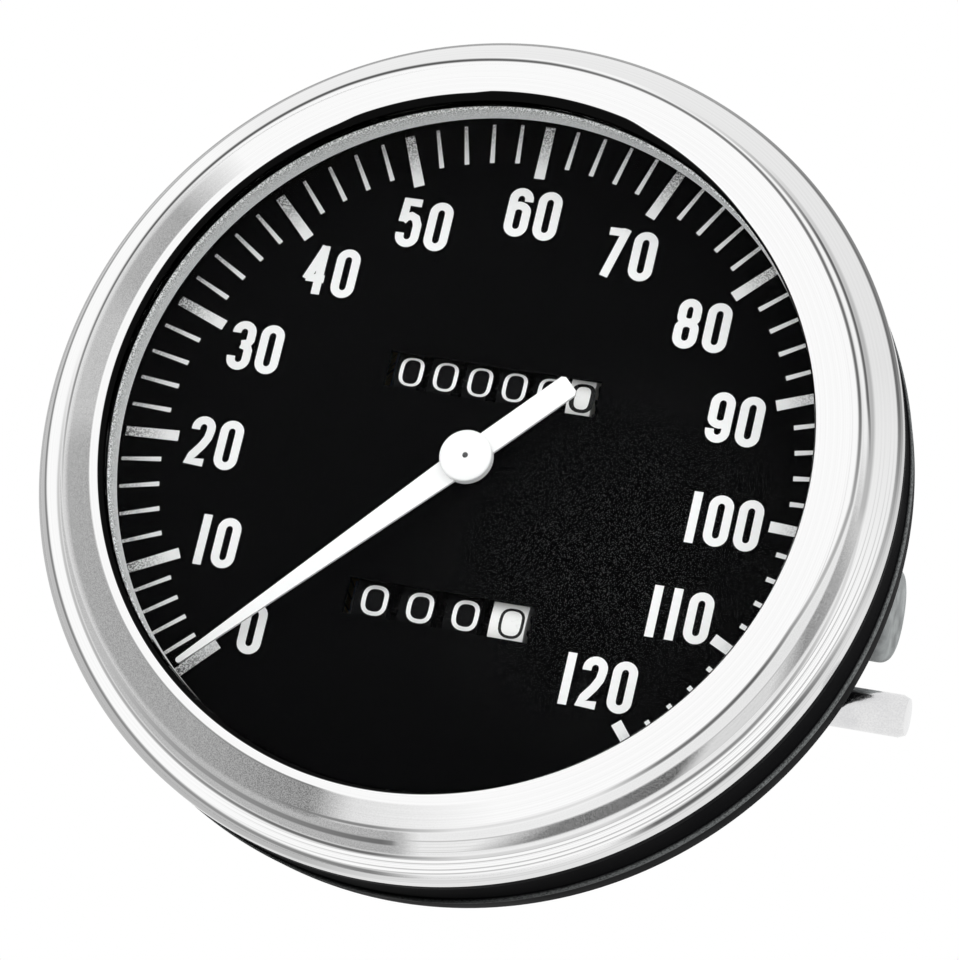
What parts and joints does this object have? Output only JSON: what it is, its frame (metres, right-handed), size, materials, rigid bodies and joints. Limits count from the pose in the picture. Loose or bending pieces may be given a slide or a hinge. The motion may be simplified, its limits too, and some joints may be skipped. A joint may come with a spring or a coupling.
{
  "type": "speedometer",
  "caption": "Round black dash speedometer with a polished bezel, a white pointer, an odometer, a resettable trip counter, a side reset stem and a drive-cable nipple.",
  "frame": {"origin": "middle of the two mounting studs, on the outside of the case's flat back", "axes": "the dial faces -Y, twelve o'clock is +Z, +X is to the right as the rider sees the dial; the studs and the drive nipple point along +Y"},
  "size_m": [0.1304, 0.0785, 0.127],
  "materials": {
    "polished_steel": "polished stainless steel with a fine turned grain",
    "clear_glass": "clear flat glass",
    "black_rubber": "matt black rubber",
    "grey_rubber": "matt grey rubber boot",
    "satin_aluminium": "satin spun aluminium",
    "black_enamel": "black stove enamel, semi-gloss",
    "dial_black": "satin black dial paint",
    "white_enamel": "white enamel",
    "brass": "plain machined brass",
    "bronze": "oiled bronze bearing metal",
    "bright_steel": "turned bright steel",
    "plated_steel": "zinc-plated steel",
    "chrome_plate": "chromium plate",
    "soft_iron": "blued soft iron",
    "bulb_glass": "clear bulb glass",
    "drum_black": "matt black moulded drum",
    "drum_white": "matt white moulded drum",
    "gear_nylon": "natural moulded gear"
  },
  "bodies": {
    "case": {"bezel": "polished_steel", "lens": "clear_glass", "lens_seal": "black_rubber", "trim_ring": "satin_aluminium", "spacer_ring": "dial_black", "dial_plate": "dial_black", "dial_pillars": "brass", "case_can": "black_enamel", "case_barrel": "black_enamel", "mounting_studs": "plated_steel", "drive_nipple": "plated_steel", "drive_bush": "bronze", "rear_plate": "brass", "front_plate": "brass", "frame_pillars": "brass", "frame_screws": "bright_steel", "field_ring": "soft_iron", "hairspring": "bright_steel", "spring_stud": "brass", "spindle_bush": "bronze", "odometer_frame": "plated_steel", "odometer_axle": "bright_steel", "pinion_shafts": "bright_steel", "trip_frame": "plated_steel", "idler_post": "bright_steel", "gear_bracket": "plated_steel", "reset_bush": "chrome_plate", "lamp_holder": "grey_rubber", "lamp_bulb": "bulb_glass"},
    "pointer": {"pointer": "white_enamel", "pointer_hub": "white_enamel", "pointer_spindle": "bright_steel", "speed_cup": "satin_aluminium"},
    "drive": {"drive_shaft": "bright_steel", "magnet": "soft_iron"},
    "cross": {"cross_shaft": "bright_steel"},
    "upright": {"upright_shaft": "bright_steel"},
    "odometer_wheel_6": {"odometer_drum_6": "drum_white", "third_gear": "gear_nylon"},
    "odometer_wheel_5": {"odometer_drum_5": "drum_black"},
    "odometer_pinion_5": {"odometer_pinion_5": "brass"},
    "odometer_wheel_4": {"odometer_drum_4": "drum_black"},
    "odometer_pinion_4": {"odometer_pinion_4": "brass"},
    "odometer_wheel_3": {"odometer_drum_3": "drum_black"},
    "odometer_pinion_3": {"odometer_pinion_3": "brass"},
    "odometer_wheel_2": {"odometer_drum_2": "drum_black"},
    "odometer_pinion_2": {"odometer_pinion_2": "brass"},
    "odometer_wheel_1": {"odometer_drum_1": "drum_black"},
    "odometer_pinion_1": {"odometer_pinion_1": "brass"},
    "idler": {"idler_gear": "gear_nylon"},
    "trip_wheel_4": {"trip_drum_4": "drum_white"},
    "trip_wheel_3": {"trip_drum_3": "drum_black"},
    "trip_pinion_3": {"trip_pinion_3": "brass"},
    "trip_wheel_2": {"trip_drum_2": "drum_black"},
    "trip_pinion_2": {"trip_pinion_2": "brass"},
    "trip_wheel_1": {"trip_drum_1": "drum_black"},
    "trip_pinion_1": {"trip_pinion_1": "brass"},
    "stem": {"reset_stem": "chrome_plate"},
    "trip_axle": {"trip_axle": "bright_steel", "reset_gear": "brass"}
  },
  "joints": [
    {"name": "pointer_sweep", "type": "hinge", "parent": "case", "child": "pointer", "pos_m": [0, -0.051, 0], "axis": [0, 1, 0], "range_deg": [0, 275.5], "stiffness_Nm_per_rad": 0.00006, "springref_deg": -22.92},
    {"name": "drive_spin", "type": "hinge", "parent": "case", "child": "drive", "pos_m": [0, 0, 0], "axis": [0, 1, 0], "continuous": true},
    {"name": "cross_spin", "type": "hinge", "parent": "case", "child": "cross", "pos_m": [0, -0.00705, 0.00423], "axis": [1, 0, 0], "continuous": true},
    {"name": "upright_spin", "type": "hinge", "parent": "case", "child": "upright", "pos_m": [0.02012, 0, 0.00847], "axis": [0, -1, 0], "continuous": true},
    {"name": "odometer_turn_6", "type": "hinge", "parent": "case", "child": "odometer_wheel_6", "pos_m": [0, -0.0407, 0.0127], "axis": [-1, 0, 0], "continuous": true},
    {"name": "odometer_turn_5", "type": "hinge", "parent": "case", "child": "odometer_wheel_5", "pos_m": [0, -0.0407, 0.0127], "axis": [-1, 0, 0], "continuous": true},
    {"name": "odometer_carry_5", "type": "hinge", "parent": "case", "child": "odometer_pinion_5", "pos_m": [0, -0.0344, 0.02021], "axis": [1, 0, 0], "continuous": true},
    {"name": "odometer_turn_4", "type": "hinge", "parent": "case", "child": "odometer_wheel_4", "pos_m": [0, -0.0407, 0.0127], "axis": [-1, 0, 0], "continuous": true},
    {"name": "odometer_carry_4", "type": "hinge", "parent": "case", "child": "odometer_pinion_4", "pos_m": [0, -0.0344, 0.02021], "axis": [1, 0, 0], "continuous": true},
    {"name": "odometer_turn_3", "type": "hinge", "parent": "case", "child": "odometer_wheel_3", "pos_m": [0, -0.0407, 0.0127], "axis": [-1, 0, 0], "continuous": true},
    {"name": "odometer_carry_3", "type": "hinge", "parent": "case", "child": "odometer_pinion_3", "pos_m": [0, -0.0344, 0.02021], "axis": [1, 0, 0], "continuous": true},
    {"name": "odometer_turn_2", "type": "hinge", "parent": "case", "child": "odometer_wheel_2", "pos_m": [0, -0.0407, 0.0127], "axis": [-1, 0, 0], "continuous": true},
    {"name": "odometer_carry_2", "type": "hinge", "parent": "case", "child": "odometer_pinion_2", "pos_m": [0, -0.0344, 0.02021], "axis": [1, 0, 0], "continuous": true},
    {"name": "odometer_turn_1", "type": "hinge", "parent": "case", "child": "odometer_wheel_1", "pos_m": [0, -0.0407, 0.0127], "axis": [-1, 0, 0], "continuous": true},
    {"name": "odometer_carry_1", "type": "hinge", "parent": "case", "child": "odometer_pinion_1", "pos_m": [0, -0.0344, 0.02021], "axis": [1, 0, 0], "continuous": true},
    {"name": "idler_spin", "type": "hinge", "parent": "case", "child": "idler", "pos_m": [0, -0.0395, -0.00468], "axis": [1, 0, 0], "continuous": true},
    {"name": "trip_turn_4", "type": "hinge", "parent": "case", "child": "trip_wheel_4", "pos_m": [0, -0.0407, -0.02207], "axis": [-1, 0, 0], "continuous": true},
    {"name": "trip_turn_3", "type": "hinge", "parent": "case", "child": "trip_wheel_3", "pos_m": [0, -0.0407, -0.02207], "axis": [-1, 0, 0], "continuous": true},
    {"name": "trip_carry_3", "type": "hinge", "parent": "case", "child": "trip_pinion_3", "pos_m": [0, -0.0344, -0.02958], "axis": [1, 0, 0], "continuous": true},
    {"name": "trip_turn_2", "type": "hinge", "parent": "case", "child": "trip_wheel_2", "pos_m": [0, -0.0407, -0.02207], "axis": [-1, 0, 0], "continuous": true},
    {"name": "trip_carry_2", "type": "hinge", "parent": "case", "child": "trip_pinion_2", "pos_m": [0, -0.0344, -0.02958], "axis": [1, 0, 0], "continuous": true},
    {"name": "trip_turn_1", "type": "hinge", "parent": "case", "child": "trip_wheel_1", "pos_m": [0, -0.0407, -0.02207], "axis": [-1, 0, 0], "continuous": true},
    {"name": "trip_carry_1", "type": "hinge", "parent": "case", "child": "trip_pinion_1", "pos_m": [0, -0.0344, -0.02958], "axis": [1, 0, 0], "continuous": true},
    {"name": "reset_turn", "type": "hinge", "parent": "case", "child": "stem", "pos_m": [0.0669, -0.0345, -0.02207], "axis": [1, 0, 0], "continuous": true},
    {"name": "trip_axle_turn", "type": "hinge", "parent": "case", "child": "trip_axle", "pos_m": [0, -0.0407, -0.02207], "axis": [1, 0, 0], "continuous": true}
  ],
  "couplings": [
    {"joint": "cross_spin", "follows": "drive_spin", "ratio": 0.1},
    {"joint": "upright_spin", "follows": "drive_spin", "ratio": 0.01},
    {"joint": "odometer_turn_6", "follows": "drive_spin", "ratio": 0.001},
    {"joint": "odometer_turn_5", "follows": "drive_spin", "ratio": 0.0001},
    {"joint": "odometer_carry_5", "follows": "drive_spin", "ratio": 0.00025},
    {"joint": "odometer_turn_4", "follows": "drive_spin", "ratio": 0.00001},
    {"joint": "odometer_carry_4", "follows": "drive_spin", "ratio": 0.000025},
    {"joint": "odometer_turn_3", "follows": "drive_spin", "ratio": 0.000001},
    {"joint": "odometer_carry_3", "follows": "drive_spin", "ratio": 0.0000025},
    {"joint": "odometer_turn_2", "follows": "drive_spin", "ratio": 0.0000001},
    {"joint": "odometer_carry_2", "follows": "drive_spin", "ratio": 0.00000025},
    {"joint": "odometer_turn_1", "follows": "drive_spin", "ratio": 0.00000001},
    {"joint": "odometer_carry_1", "follows": "drive_spin", "ratio": 0.000000025},
    {"joint": "idler_spin", "follows": "drive_spin", "ratio": 0.00075},
    {"joint": "trip_turn_4", "follows": "drive_spin", "ratio": 0.001},
    {"joint": "trip_turn_3", "follows": "drive_spin", "ratio": 0.0001},
    {"joint": "trip_carry_3", "follows": "drive_spin", "ratio": 0.00025},
    {"joint": "trip_turn_2", "follows": "drive_spin", "ratio": 0.00001},
    {"joint": "trip_carry_2", "follows": "drive_spin", "ratio": 0.000025},
    {"joint": "trip_turn_1", "follows": "drive_spin", "ratio": 0.000001},
    {"joint": "trip_carry_1", "follows": "drive_spin", "ratio": 0.0000025},
    {"joint": "trip_axle_turn", "follows": "reset_turn", "ratio": -0.66667}
  ]
}
